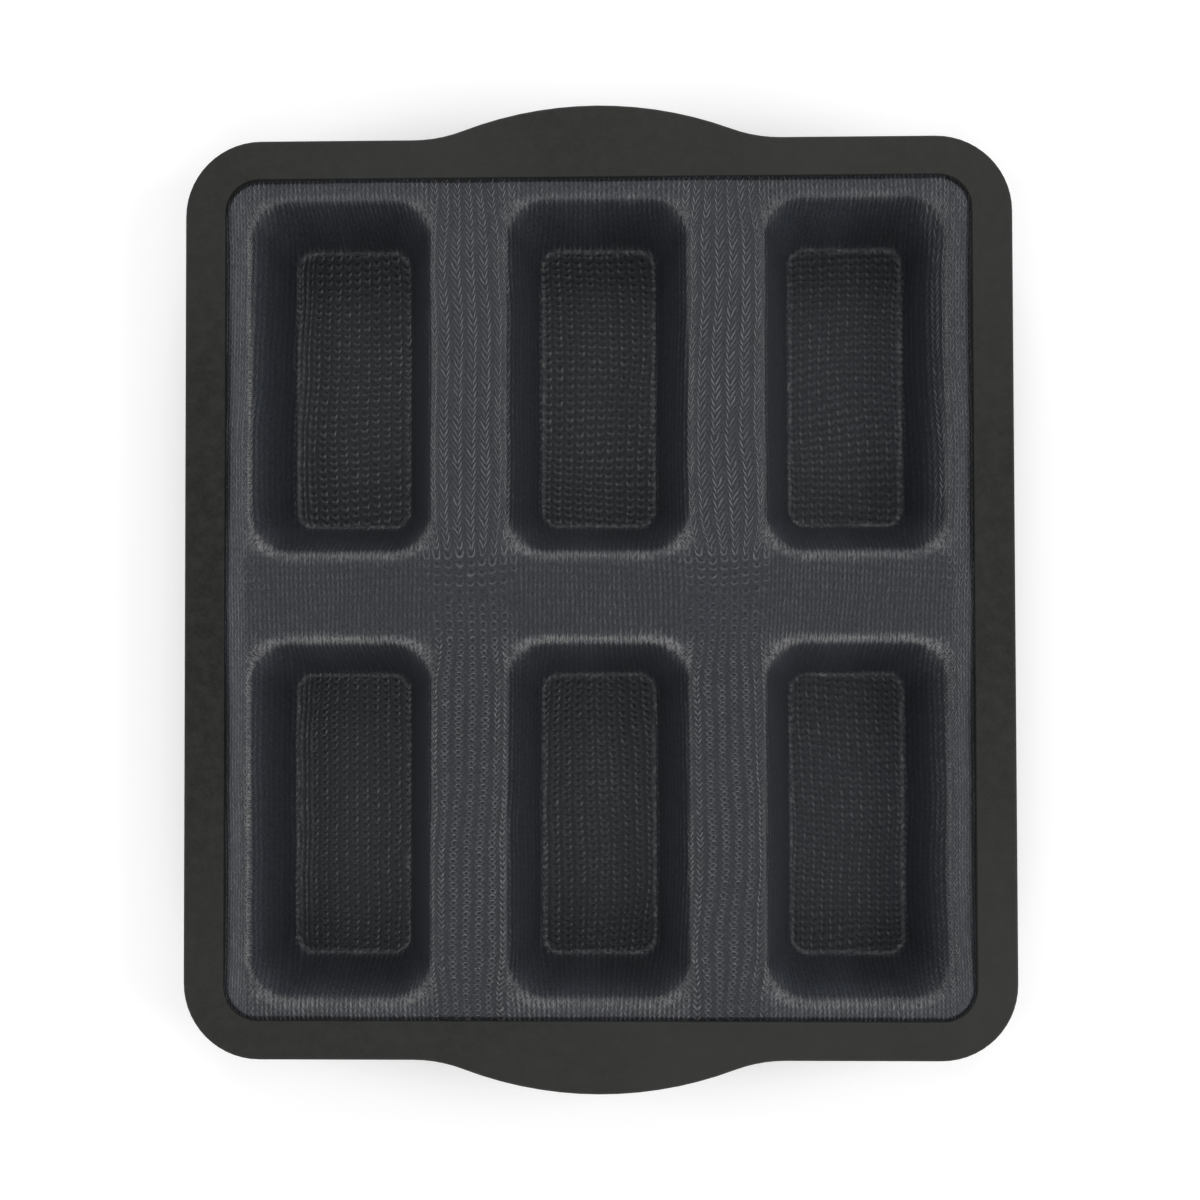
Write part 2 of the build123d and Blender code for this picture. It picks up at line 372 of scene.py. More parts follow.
# Each look says how a zone's stitches are drawn out: rise of the legs in courses, how round
# their bottom is (curl), how narrow a stitch is in its wale (narrow), how far the stitches
# have turned into lines along the wale (column), short ticks (tick) or open loops (cap), how
# open the pores are, which sets how dark they are painted with the shade inside them, how
# strongly the yarn shows with its painted glints, how light the coat is painted, as painted
# light on the bars and side lands and painted shade down the walls and on the floors, and the
# height of the relief in millimetres.
LOOKS = {
    "upper_bar": dict(rise=1.90, curl=0.0, narrow=1.0, column=0.0, tick=0.0, cap=0.0, pore=0.45,
                      yarn=1.35, tone=1.44, relief=0.22),
    "lower_left_bar": dict(rise=1.10, curl=0.3, narrow=1.0, column=0.0, tick=0.0, cap=0.85,
                           pore=0.75, yarn=1.00, tone=1.15, relief=0.15),
    "lower_right_bar": dict(rise=1.15, curl=0.3, narrow=1.0, column=0.0, tick=0.0, cap=0.7,
                            pore=0.55, yarn=0.74, tone=1.07, relief=0.13),
    "junction": dict(rise=0.70, curl=0.5, narrow=0.5, column=0.15, tick=0.0, cap=1.0, pore=0.55,
                     yarn=0.34, tone=1.05, relief=0.11),
    "between": dict(rise=1.0, curl=0.5, narrow=0.2, column=0.85, tick=0.0, cap=0.5, pore=0.25,
                    yarn=0.28, tone=0.87, relief=0.07),
    "end_land": dict(rise=1.2, curl=0.2, narrow=0.2, column=0.85, tick=0.0, cap=0.0, pore=0.30,
                     yarn=0.85, tone=1.10, relief=0.12),
    "left_side": dict(rise=1.2, curl=0.3, narrow=0.2, column=0.75, tick=0.0, cap=0.2, pore=0.70,
                      yarn=0.85, tone=1.74, relief=0.11),
    "right_side": dict(rise=1.3, curl=0.2, narrow=0.4, column=0.35, tick=0.0, cap=0.2, pore=0.60,
                       yarn=0.90, tone=1.34, relief=0.14),
    "wall": dict(rise=1.2, curl=0.0, narrow=0.0, column=1.0, tick=0.0, cap=0.0, pore=0.0,
                 yarn=0.08, tone=0.69, relief=0.02),
    "left_floor": dict(rise=0.6, curl=0.3, narrow=0.6, column=0.0, tick=0.8, cap=0.25, pore=0.80,
                       yarn=0.62, tone=0.76, relief=0.16),
    "middle_floor": dict(rise=0.5, curl=0.3, narrow=0.6, column=0.1, tick=0.85, cap=0.25, pore=0.80,
                         yarn=0.56, tone=0.76, relief=0.15),
    "right_floor": dict(rise=0.35, curl=0.2, narrow=0.1, column=0.1, tick=0.35, cap=0.1, pore=0.58,
                        yarn=0.31, tone=0.775, relief=0.09),
}
LOOK_KEYS = tuple(LOOKS["upper_bar"])
# How far a bent wale's legs meet from its middle, and how much less its short leg rises.
LEG_BEND = 0.14
STEEP_LEG = 0.10
# An open loop, in wales across and courses along.
LOOP_HALF_WIDTH, LOOP_NARROWING, LOOP_HALF_HEIGHT = 0.36, 0.17, 0.36
# Where a loop's ring of yarn rises and falls, as shares of the loop's half size.
RING_RISE, RING_FALL = (0.50, 0.92), (1.0, 1.38)
# How far the purl side's arcs swing, in courses.
PURL_SWING = 0.28


def shoulder_softness(x, y):
    """0 where a shoulder is crisp, beside a bar, and up to 1 at corners and outer walls."""
    _, _, end = well_place(x, y)
    softness = 0.30 * end + 0.6 * outer_wall_share(x) + 0.45 * front_end_share(y)
    return np.clip(softness + 0.5 * corner_share(end), 0, 1)


def zone_shares(x, y, d):
    """How much of each look applies at each point; the shares add up to 1."""
    off_x, off_y = off_well(x, y)
    ragged_x = off_x + gentle_noise(x, y, 20, SEED + 15)
    in_column = 1 - smooth(MOUTH_HALF[0] - 6, MOUTH_HALF[0] + 4, ragged_x)
    crossbar = 1 - smooth(11, 19, np.abs(y) + 1.5 * gentle_noise(x, y, 30, SEED + 11))
    side = smooth(COLUMN_PITCH + MOUTH_HALF[0], COLUMN_PITCH + MOUTH_HALF[0] + 4, np.abs(x))
    upper, right = back_row_share(y), smooth(-10, 10, x)
    in_rows = (1 - crossbar) * (1 - side)
    end_land = in_column * smooth(MOUTH_HALF[1] - 4, MOUTH_HALF[1], off_y) * in_rows
    bar = in_rows - end_land
    shares = {
        "upper_bar": bar * upper,
        "lower_left_bar": bar * (1 - upper) * (1 - right),
        "lower_right_bar": bar * (1 - upper) * right,
        "junction": crossbar * (1 - in_column) * (1 - side),
        "between": crossbar * in_column * (1 - side),
        "end_land": end_land,
        "left_side": side * (1 - right),
        "right_side": side * right,
    }
    gradual = right_column_share(x) * (1 - smooth(FLOOR_HALF[1], MOUTH_HALF[1], off_y))
    inside = 1 - smooth(WALL_RUN - 1.8 - 4.6 * gradual, WALL_RUN + 0.7 + 1.0 * gradual, d)
    on_floor = 1 - smooth(-0.4, 1.6, d)
    for name in shares:
        shares[name] = shares[name] * (1 - inside)
    shares["wall"] = inside * (1 - on_floor)
    left = 1 - smooth(-COLUMN_PITCH / 2, -COLUMN_PITCH / 2 + 1, x)
    far_right = smooth(COLUMN_PITCH / 2 - 1, COLUMN_PITCH / 2, x)
    shares["left_floor"] = on_floor * left
    shares["right_floor"] = on_floor * far_right
    shares["middle_floor"] = on_floor * (1 - left - far_right)
    return shares


def corner_share(end):
    """1 halfway round a corner and 0 along the sides and the ends."""
    return 4 * end * (1 - end)


def shoulder_glint_strength(x, y, d):
    """How strongly highlights are painted over the edge of a well, 0 to 1 and a little more."""
    _, _, end = well_place(x, y)
    _, off_y = off_well(x, y)
    corner = corner_share(end)
    upper = back_row_share(y)
    at_rim = smooth(0, 10, np.abs(y) - ROW_PITCH / 2)
    rim_end, bar_end = end * at_rim, end * (1 - at_rim)
    outward = 2.2 + 1.2 * rim_end * (1 - upper) + 0.8 * bar_end * upper + 2.0 * corner
    inward = 1.3 + 0.4 * end + 1.4 * corner
    crest = WALL_RUN + 0.9 - 0.4 * rim_end * upper
    band = np.where(d > crest, bump_at(crest, outward, d), bump_at(crest, inward, d))
    patchy = 1 + 0.30 * gentle_noise(x, y, 22, SEED + 13, 12)
    outer = outer_side_share(x, y)
    ridge = outer * bump_at(WALL_RUN + 0.6, 0.9, d) * (1 - 0.7 * smooth(-10, 10, x))
    long_side = (1 - end) * (0.14 + 0.12 * upper)
    at_ends = (0.60 - 0.28 * upper) * rim_end + (1.25 - 0.53 * upper) * bar_end
    strength = long_side + at_ends + 0.30 * corner
    return (band * strength * (1 - 0.6 * outer) + 1.1 * ridge) * patchy


def knit_looks(x, y, d):
    """Every look's value at each point, the bend of the legs and where the loops arch.

    bend says which way, and how far, the place where a wale's legs meet lies off its middle.
    arch is 1 in the front row and -1 in the back row, for the end of an open loop that shows.
    """
    shares = zone_shares(x, y, d)
    looks = {
        key: sum(share * LOOKS[name][key] for name, share in shares.items())
        for key in LOOK_KEYS
    }
    looks["bend"] = -np.tanh(x / 22) * (0.85 + 0.15 * gentle_noise(x, y, 40, SEED + 12))
    looks["bend"] *= 1 - 0.85 * looks["cap"]
    off_x, _ = off_well(x, y)
    bar_edge = bump_at(MOUTH_HALF[0] + 2.4, 3.0, off_x)
    bar_edge = bar_edge * (shares["lower_left_bar"] + shares["lower_right_bar"])
    from_column = x - nearest_column(x)
    looks["bend"] += 0.9 * bar_edge * np.sign(from_column)
    looks["cap"] = looks["cap"] * (1 - bar_edge)
    patches = gentle_noise(x, y, 34, SEED + 5)
    looks["yarn"] -= 0.35 * shares["end_land"] * back_row_share(y)
    looks["yarn"] = np.clip((looks["yarn"] + 0.25 * bar_edge) * (1 + 0.16 * patches), 0, 1.4)
    # Painted light and shade on the walls: lighter near the top where a shoulder is soft and on the
    # walls of each well's left half, most in the right column; darker with depth and towards the
    # ends by the rim. The yarn's painted glints also grow just under the mouth.
    depth = 1 - smooth(0.0, WALL_RUN - 2, d)
    near_top = smooth(WALL_RUN - 7, WALL_RUN, d)
    soft = shoulder_softness(x, y)
    lit = (1 - smooth(-5, 5, from_column)) * (0.14 + 0.20 * smooth(-60, 60, x))
    slope = 0.55 + 0.35 * outer_side_share(x, y) + 0.40 * front_end_share(y)
    slope = slope * soft * near_top
    at_rim = smooth(5, 25, np.abs(y) - ROW_PITCH / 2 - FLOOR_HALF[1] + 15)
    looks["tone"] += shares["wall"] * (slope - 0.12 * depth + lit - 0.10 * at_rim)
    looks["yarn"] += 0.22 * shares["wall"] * (1 - smooth(0.0, 5.0, WALL_RUN - d))
    looks["arch"] = 1 - 2 * smooth(-6, 6, y)
    left_strip = shares["left_floor"] * bump_at(-FLOOR_HALF[0] + 3, 4.5, x + COLUMN_PITCH)
    looks["column"] = looks["column"] + 0.8 * left_strip * (1 - looks["column"])
    return looks


def wale_place(u, bend):
    """Distance from where a wale's legs meet, 0 to 1 at its edges, and which leg it is."""
    part = u % 1
    meet = 0.5 + LEG_BEND * bend
    right = part > meet
    m = np.where(right, (part - meet) / (1 - meet), (meet - part) / meet)
    return m, right


def loop_parts(u, v, arch, narrow):
    """A loop's yarn, seen most on the side that arch points to, and the pore inside it."""
    across = (u % 1 - 0.5) / (LOOP_HALF_WIDTH - LOOP_NARROWING * narrow)
    along = (v % 1 - 0.5) / LOOP_HALF_HEIGHT
    r = np.hypot(across, along)
    ring = smooth(*RING_RISE, r) * (1 - smooth(*RING_FALL, r))
    seen = smooth(0.1, 0.9, arch * along / np.maximum(r, 0.05))
    return ring * (0.05 + 0.95 * seen), 1 - smooth(0.45, 0.95, r)


def stitch_height(u, v, looks):
    """Relief of the knit's face, about 0 to 1: two slanting legs in every wale, or a loop."""
    m, right = wale_place(u, looks["bend"])
    favour = np.where(right, looks["bend"], -looks["bend"])
    rise = looks["rise"] * (1 - STEEP_LEG * favour)
    phase = v - rise * m ** (1 + looks["curl"])
    leg = 0.5 + 0.5 * np.cos(2 * math.pi * phase)
    reach = 1 - 0.38 * looks["narrow"]
    leg = leg * (0.35 + 0.65 * np.sin(math.pi * np.clip(m / reach, 0, 1)))
    line = 0.5 - 0.5 * np.cos(2 * math.pi * m)
    ring, pore = loop_parts(u, v, looks["arch"], looks["narrow"])
    looped = 0.45 + 0.55 * ring - 0.45 * pore + 0.15 * leg
    leg = leg + (looped - leg) * looks["cap"]
    return leg + (line - leg) * looks["column"]


def purl_height(u, v):
    """Relief of the knit's back, 0 to 1: rows of interlocked arcs."""
    arc = 0.5 + 0.5 * np.cos(2 * math.pi * (v + PURL_SWING * np.cos(2 * math.pi * u)))
    return arc * (0.75 + 0.25 * np.cos(2 * math.pi * u))


# ---------------------------------------------------------------- liner meshes

# Spacing of the mesh lines, on level cloth and down a wall's slope, and how far inside the
# mouth, outside the foot and inside the floor's edge the spacing changes.
FINE_STEP, WALL_STEP = 0.55, 1.3
MOUTH_MARGIN, FOOT_MARGIN, FLOOR_MARGIN = 1.2, 0.8, 2.4
NORMAL_STEP = 0.05
# The relief fades out where the rim covers the liner.
COVERED = (-0.8, 0.2)
BACK_RELIEF = 0.8


def grid_lines(axis):
    """Places of the mesh lines along one axis, further apart down a wall's slope."""
    low, high = LAND_LOW[axis], LAND_HIGH[axis]
    centres = sorted({round(float(c[axis]), 4) for c in WELL_CENTRES.values()})
    seam, mouth = SEAM_HALF[axis], MOUTH_HALF[axis] - MOUTH_MARGIN
    foot, floor = FLOOR_HALF[axis] + FOOT_MARGIN, FLOOR_HALF[axis] - FLOOR_MARGIN
    wall_step = WALL_STEP * math.sin(WALL_DRAFT)
    marks = [(low, None)]
    for centre in centres:
        marks += [
            (centre - seam, FINE_STEP), (centre - mouth, FINE_STEP * 0.8),
            (centre - foot, wall_step), (centre - floor, FINE_STEP * 0.7),
            (centre + floor, FINE_STEP), (centre + foot, FINE_STEP * 0.7),
            (centre + mouth, wall_step), (centre + seam, FINE_STEP * 0.8),
        ]
    marks.append((high, FINE_STEP))
    lines = [np.array([low])]
    for (start, _), (end, step) in zip(marks, marks[1:]):
        count = max(1, round((end - start) / step))
        lines.append(np.linspace(start, end, count + 1)[1:])
    return np.concatenate(lines)


def round_corners(x, y):
    """Moves points beyond the liner's rounded corners in to the corner's arc."""
    corner = LAND_HIGH[:2] - LINER_CORNER_RADIUS
    dx, dy = np.abs(x) - corner[0], np.abs(y) - corner[1]
    reach = np.hypot(dx, dy)
    beyond = (dx > 0) & (dy > 0) & (reach > LINER_CORNER_RADIUS)
    pull = np.where(beyond, LINER_CORNER_RADIUS / np.maximum(reach, 1e-9), 1)
    new_x = np.where(beyond, np.sign(x) * (corner[0] + dx * pull), x)
    new_y = np.where(beyond, np.sign(y) * (corner[1] + dy * pull), y)
    return new_x, new_y, beyond


def liner_grid():
    """Every grid point's face and back position, knit coordinates and painted values."""
    xs, ys = grid_lines(0), grid_lines(1)
    x, y = np.meshgrid(xs, ys, indexing="ij")
    x, y, beyond = round_corners(x, y)
    z = liner_height(x, y)
    e = NORMAL_STEP
    slope_x = (liner_height(x + e, y) - liner_height(x - e, y)) / (2 * e)
    slope_y = (liner_height(x, y + e) - liner_height(x, y - e)) / (2 * e)
    normal = np.stack([-slope_x, -slope_y, np.ones_like(z)], axis=-1)
    normal /= np.linalg.norm(normal, axis=-1, keepdims=True)
    u, v = knit_coordinates(x, y)
    d, around, _ = well_place(x, y)
    looks = knit_looks(x, y, d)
    base = np.stack([x, y, z], axis=-1)
    shown = smooth(*COVERED, rim_gap(x, y))
    face_lift = looks["relief"] * (stitch_height(u, v, looks) - 0.4) * shown
    back_lift = BACK_RELIEF * looks["relief"] * (purl_height(u, v) - 1.0) * shown
    face = base + normal * face_lift[..., None]
    back = base - normal * (THICKNESS + back_lift)[..., None]
    # Painted highlights: glints over the wells' shoulders and a patchy band of them round each
    # floor's foot.
    shoulder = shoulder_glint_strength(x, y, d)
    foot = bump_at(-0.7, 1.1, d) * (0.65 + 0.35 * gentle_noise(x, y, 9, SEED + 14, 16))
    painted = {key: looks[key] for key in LOOK_KEYS if key != "relief"}
    painted.update(bend=looks["bend"], arch=looks["arch"], shoulder=shoulder, foot=foot)
    return {
        "xs": xs, "ys": ys, "beyond": beyond, "face": face, "back": back,
        "face_normal": surface_normals(face), "back_normal": -surface_normals(back),
        "knit": (u, v), "edge_place": (around, d), "painted": painted,
    }


def surface_normals(points):
    """Unit normals of a grid of points, up the surface's upper side."""
    along_x = np.gradient(points, axis=0)
    along_y = np.gradient(points, axis=1)
    normal = np.cross(along_x, along_y)
    return normal / np.maximum(np.linalg.norm(normal, axis=-1, keepdims=True), 1e-12)


def boundary_edges(quads):
    """Directed edges that only one quad uses."""
    edges = np.concatenate([quads[:, [i, (i + 1) % 4]] for i in range(4)])
    keys = np.sort(edges, axis=1)
    _, first, count = np.unique(keys, axis=0, return_index=True, return_counts=True)
    return edges[first[count == 1]]


def liner_piece(name, grid, cell_mask, material):
    """Closed mesh of the marked grid cells: face, back and the edge between them."""
    nx, ny = len(grid["xs"]), len(grid["ys"])
    index = np.arange(nx * ny).reshape(nx, ny)
    corners = [index[:-1, :-1], index[1:, :-1], index[1:, 1:], index[:-1, 1:]]
    quads = np.stack([c[cell_mask] for c in corners], axis=1)
    used, quads = np.unique(quads, return_inverse=True)
    quads = quads.reshape(-1, 4)
    n = len(used)
    rim = boundary_edges(quads)
    sides = np.stack([rim[:, 0], rim[:, 0] + n, rim[:, 1] + n, rim[:, 1]], axis=1)
    faces = np.concatenate([quads, quads[:, ::-1] + n, sides])
    points = np.concatenate([grid[k].reshape(-1, 3)[used] for k in ("face", "back")])
    mesh = bpy.data.meshes.new(name)
    mesh.vertices.add(2 * n)
    mesh.vertices.foreach_set("co", (points * MM).astype(np.float32).ravel())
    mesh.loops.add(faces.size)
    mesh.loops.foreach_set("vertex_index", faces.astype(np.int32).ravel())
    mesh.polygons.add(len(faces))
    mesh.polygons.foreach_set("loop_start", np.arange(0, faces.size, 4, dtype=np.int32))
    mesh.update(calc_edges=True)
    mesh.polygons.foreach_set("use_smooth", np.ones(len(faces), bool))
    loop_vertex = faces.ravel() % n
    for key in ("knit", "edge_place"):
        uv = np.stack([values.ravel()[used] for values in grid[key]], axis=1)
        layer = mesh.uv_layers.new(name=key)
        layer.data.foreach_set("uv", uv[loop_vertex].astype(np.float32).ravel())
    for key, field in grid["painted"].items():
        values = np.tile(field.ravel()[used], 2).astype(np.float32)
        mesh.attributes.new(key, "FLOAT", "POINT").data.foreach_set("value", values)
    back = np.repeat([0.0, 1.0], n).astype(np.float32)
    mesh.attributes.new("back", "FLOAT", "POINT").data.foreach_set("value", back)
    mesh.validate()
    mesh.update()
    normals = np.concatenate([grid[k].reshape(-1, 3)[used] for k in ("face_normal", "back_normal")])
    mesh.normals_split_custom_set_from_vertices(normals.astype(np.float32))
    mesh.materials.append(material)
    piece = bpy.data.objects.new(name, mesh)
    bpy.context.scene.collection.objects.link(piece)
    return piece


def build_liner(material):
    """Makes the six well patches and the land, hides the CAD nodes that they stand in for and
    attaches each to the root body.
    """
    grid = liner_grid()
    xs, ys = grid["xs"], grid["ys"]
    mid_x, mid_y = (xs[:-1] + xs[1:]) / 2, (ys[:-1] + ys[1:]) / 2
    gone = grid["beyond"]
    gone = gone[:-1, :-1] & gone[1:, :-1] & gone[1:, 1:] & gone[:-1, 1:]
    land = ~gone
    pieces = []
    for name in WELLS:
        centre = WELL_CENTRES[name]
        in_x = np.abs(mid_x - centre[0]) < SEAM_HALF[0]
        in_y = np.abs(mid_y - centre[1]) < SEAM_HALF[1]
        cells = in_x[:, None] & in_y[None, :]
        land &= ~cells
        piece = liner_piece(name + "_cloth", grid, cells, material)
        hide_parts(name)
        pieces.append(piece)
    land_piece = liner_piece("liner_land_cloth", grid, land, material)
    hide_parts("liner_land")
    for piece in [*pieces, land_piece]:
        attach(piece, "root")


# ---------------------------------------------------------------- node helpers


class Nodes:
    """A material's node tree, with short calls for the nodes that these looks use."""

    def __init__(self, name):
        self.material = bpy.data.materials.new(name)
        self.material.use_nodes = True
        self.tree = self.material.node_tree
        self.tree.nodes.clear()
        self.shader = self.add("ShaderNodeBsdfPrincipled")
        self.output = self.add("ShaderNodeOutputMaterial")
        self.link(self.shader.outputs[0], self.output.inputs["Surface"])

    def add(self, kind, **settings):
        node = self.tree.nodes.new(kind)
        for key, value in settings.items():
            setattr(node, key, value)
        return node

    def link(self, source, target):
        if isinstance(source, (int, float)):
            target.default_value = source
        else:
            self.tree.links.new(source, target)

    def math(self, operation, *values, clamp=False):
        node = self.add("ShaderNodeMath", operation=operation, use_clamp=clamp)
        for value, socket in zip(values, node.inputs):
            self.link(value, socket)
        return node.outputs[0]

    def blend(self, share, a, b):
        """The number a where share is 0, b where it is 1."""
        return self.math("ADD", a, self.math("MULTIPLY", share, self.math("SUBTRACT", b, a)))

    def ramp(self, low, high, value, to_low=0.0, to_high=1.0):
        node = self.add("ShaderNodeMapRange", interpolation_type="SMOOTHSTEP")
        for source, key in (
            (value, "Value"), (low, "From Min"), (high, "From Max"),
            (to_low, "To Min"), (to_high, "To Max"),
        ):
            self.link(source, node.inputs[key])
        return node.outputs["Result"]

    def noise(self, vector, scale, detail=2.0, roughness=0.5):
        node = self.add("ShaderNodeTexNoise")
        self.link(vector, node.inputs["Vector"])
        node.inputs["Scale"].default_value = scale
        node.inputs["Detail"].default_value = detail
        node.inputs["Roughness"].default_value = roughness
        return node.outputs["Fac"]

    def mix(self, factor, a, b):
        node = self.add("ShaderNodeMix", data_type="RGBA")
        self.link(factor, node.inputs["Factor"])
        for value, socket in ((a, node.inputs[6]), (b, node.inputs[7])):
            if isinstance(value, tuple):
                socket.default_value = (*value, 1)
            else:
                self.link(value, socket)
        return node.outputs[2]

    def scaled(self, colour, factor):
        node = self.add("ShaderNodeVectorMath", operation="SCALE")
        self.link(colour, node.inputs[0])
        self.link(factor, node.inputs["Scale"])
        return node.outputs[0]

    def attribute(self, name):
        return self.add("ShaderNodeAttribute", attribute_name=name).outputs["Fac"]

    def uv_parts(self, name):
        """The two numbers of a UV map."""
        parts = self.add("ShaderNodeSeparateXYZ")
        self.link(self.add("ShaderNodeUVMap", uv_map=name).outputs[0], parts.inputs[0])
        return parts.outputs[0], parts.outputs[1]

    def chance(self, cell):
        """A random number for each cell."""
        node = self.add("ShaderNodeTexWhiteNoise", noise_dimensions="3D")
        self.link(cell, node.inputs["Vector"])
        return node.outputs["Value"]

    def combine(self, x, y, z):
        node = self.add("ShaderNodeCombineXYZ")
        for value, socket in zip((x, y, z), node.inputs):
            self.link(value, socket)
        return node.outputs[0]

    def bump(self, height, distance, normal=None):
        node = self.add("ShaderNodeBump")
        self.link(height, node.inputs["Height"])
        node.inputs["Distance"].default_value = distance
        if normal is not None:
            self.link(normal, node.inputs["Normal"])
        return node.outputs[0]


def object_place(nodes):
    """Position on the object, in metres."""
    return nodes.add("ShaderNodeTexCoord").outputs["Object"]


# ---------------------------------------------------------------- materials

SILICONE_IOR = 1.41
RIM_IOR = 1.36
RIM_DARK = (0.0030, 0.0030, 0.0022)
RIM_SHEEN_AND_MOTTLE = (0.0245, 0.0245, 0.0226)
RIM_BLOOM = (0.0270, 0.0270, 0.0250)
DUST = (0.15, 0.15, 0.14)
COAT_DARK = (0.0285, 0.0305, 0.0360)
YARN_GLINT = (0.135, 0.139, 0.148)
GLINT_WHITE = (0.190, 0.188, 0.188)
MOTTLE_AND_PORE_SHADE = (0.0060, 0.0065, 0.0085)
COAT_BLUE = (0.0260, 0.0310, 0.0395)
STEEL_DARK, STEEL_LIGHT = (0.42, 0.42, 0.43), (0.60, 0.60, 0.61)
# Noise features per metre, from broad clouds to single fibres.
CLOUD_SCALE, GLINT_SCALE, EDGE_SCALE = 38.0, 700.0, 1100.0
GRAIN_SCALE, FIBRE_SCALE = 1250.0, 2600.0
RIM_BROAD_SCALE, RIM_BLOTCH_SCALE, RIM_FINE_SCALE = 16.0, 210.0, 900.0
SPECK_SCALE, SPECK_PATCH_SCALE, STEEL_SCALE = 160.0, 45.0, 1400.0
# Bump heights, in metres.
STITCH_BUMP, FIBRE_BUMP = 0.00020, 0.00003
RIM_GRAIN_BUMP, RIM_BLOTCH_BUMP, STEEL_BUMP = 0.00005, 0.00006, 0.00002


def knit_material():
    """Coated glass-fibre knit: slanting stitches on the face, purl arcs on the back."""
    n = Nodes("coated_knit")
    place = object_place(n)
    u, v = n.uv_parts("knit")
    around, out = n.uv_parts("edge_place")
    rise, curl, narrow, bend, column, tick, cap, arch = (
        n.attribute(key)
        for key in ("rise", "curl", "narrow", "bend", "column", "tick", "cap", "arch")
    )
    pore, yarn, tone, shoulder, foot, back = (
        n.attribute(key) for key in ("pore", "yarn", "tone", "shoulder", "foot", "back")
    )
    fibre = n.noise(place, FIBRE_SCALE, 2.0)
    rough_edge = n.math("SUBTRACT", n.noise(place, EDGE_SCALE, 2.0, 0.6), 0.5)

    # m runs from 0 where a wale's two legs meet to 1 at its edges.
    part = n.math("FRACT", u)
    meet = n.math("MULTIPLY_ADD", bend, LEG_BEND, 0.5)
    off_meet = n.math("SUBTRACT", part, meet)
    right = n.math("GREATER_THAN", off_meet, 0.0)
    on_right = n.math("DIVIDE", off_meet, n.math("SUBTRACT", 1.0, meet))
    on_left = n.math("DIVIDE", n.math("MULTIPLY", off_meet, -1.0), meet)
    m = n.math("MAXIMUM", on_right, on_left)
    favour = n.math("MULTIPLY", n.math("MULTIPLY_ADD", right, 2.0, -1.0), bend)
    rise = n.math("MULTIPLY", rise, n.math("MULTIPLY_ADD", favour, -STEEP_LEG, 1.0))
    climb = n.math("MULTIPLY", rise, n.math("POWER", m, n.math("ADD", 1.0, curl)))
    phase = n.math("MULTIPLY_ADD", rough_edge, 0.45, n.math("SUBTRACT", v, climb))
    leg = n.math("COSINE", n.math("MULTIPLY", phase, 2 * math.pi))
    leg = n.math("MULTIPLY_ADD", leg, 0.5, 0.5)

    # Each leg is a little lighter or darker and thicker or thinner than its neighbours.
    cell = n.combine(n.math("FLOOR", u), n.math("FLOOR", n.math("ADD", phase, 0.5)), right)
    luck = n.chance(cell)
    thin = n.math("MULTIPLY_ADD", favour, -0.14, n.math("MULTIPLY_ADD", cap, 0.16, 0.66))
    thin = n.math("MULTIPLY_ADD", luck, -0.20, thin)
    stroke = n.ramp(thin, n.math("ADD", thin, 0.32), leg)
    reach = n.math("MULTIPLY_ADD", narrow, -0.30, 1.0)
    leg_end = n.ramp(reach, n.math("SUBTRACT", reach, 0.20), m)
    taper = n.math("MULTIPLY", n.ramp(0.0, 0.16, m), leg_end)
    legs = n.math("MULTIPLY", stroke, taper)
    middle = n.math("MULTIPLY", n.ramp(0.20, 0.45, m), n.ramp(0.85, 0.60, m))
    # Painted light: ticks glint on the leg on the side that bend favours, and the legs on that side
    # are drawn lighter, those on the other side darker.
    one_leg = n.ramp(-0.35, 0.25, favour)
    ticks = n.math("MULTIPLY", n.math("MULTIPLY", stroke, middle), one_leg)
    legs = n.blend(tick, legs, ticks)
    legs = n.math("MULTIPLY", legs, n.math("MULTIPLY_ADD", favour, 0.55, 1.0))

    # Where the loops lie open, each one's yarn shows as an arch over its pore.
    half_width = n.math("MULTIPLY_ADD", narrow, -LOOP_NARROWING, LOOP_HALF_WIDTH)
    loop_u = n.math("DIVIDE", n.math("SUBTRACT", part, 0.5), half_width)
    loop_v = n.math("DIVIDE", n.math("SUBTRACT", n.math("FRACT", v), 0.5), LOOP_HALF_HEIGHT)
    squares = n.math("ADD", n.math("MULTIPLY", loop_u, loop_u), n.math("MULTIPLY", loop_v, loop_v))
    r = n.math("MULTIPLY_ADD", rough_edge, 0.7, n.math("SQRT", squares))
    ring = n.math("MULTIPLY", n.ramp(*RING_RISE, r), n.ramp(*reversed(RING_FALL), r))
    seen = n.math("DIVIDE", n.math("MULTIPLY", arch, loop_v), n.math("MAXIMUM", r, 0.05))
    ring = n.math("MULTIPLY", ring, n.ramp(0.1, 0.9, seen, 0.05, 1.0))
    ring = n.math("MULTIPLY", ring, n.math("MULTIPLY_ADD", rough_edge, 2.4, 0.9), clamp=True)
    beside = n.math("MULTIPLY", legs, n.ramp(0.30, 0.55, m, 0.0, 0.45))
    looped = n.math("MULTIPLY_ADD", ring, 1.7, beside)
    legs = n.blend(cap, legs, looped)
    line = n.math("MULTIPLY", n.ramp(0.22, 0.45, m), n.ramp(0.82, 0.58, m))
    dashes = n.math("MULTIPLY", line, n.math("MULTIPLY_ADD", leg, 0.65, 0.35))
    face = n.blend(column, legs, dashes)

    # Pores open inside each loop and, smaller, between neighbouring wales.
    shut = n.math("SUBTRACT", 1.0, leg)
    inner = n.math("MULTIPLY", n.ramp(0.42, 0.12, m), n.ramp(0.50, 0.90, shut))
    outer = n.math("MULTIPLY", n.ramp(0.84, 0.97, m), n.ramp(0.35, 0.9, shut))
    holes = n.math("MAXIMUM", inner, n.math("MULTIPLY", outer, 0.8))
    holes = n.blend(cap, holes, n.ramp(0.95, 0.45, r))
    holes = n.math("MULTIPLY", holes, n.math("SUBTRACT", 1.0, column))

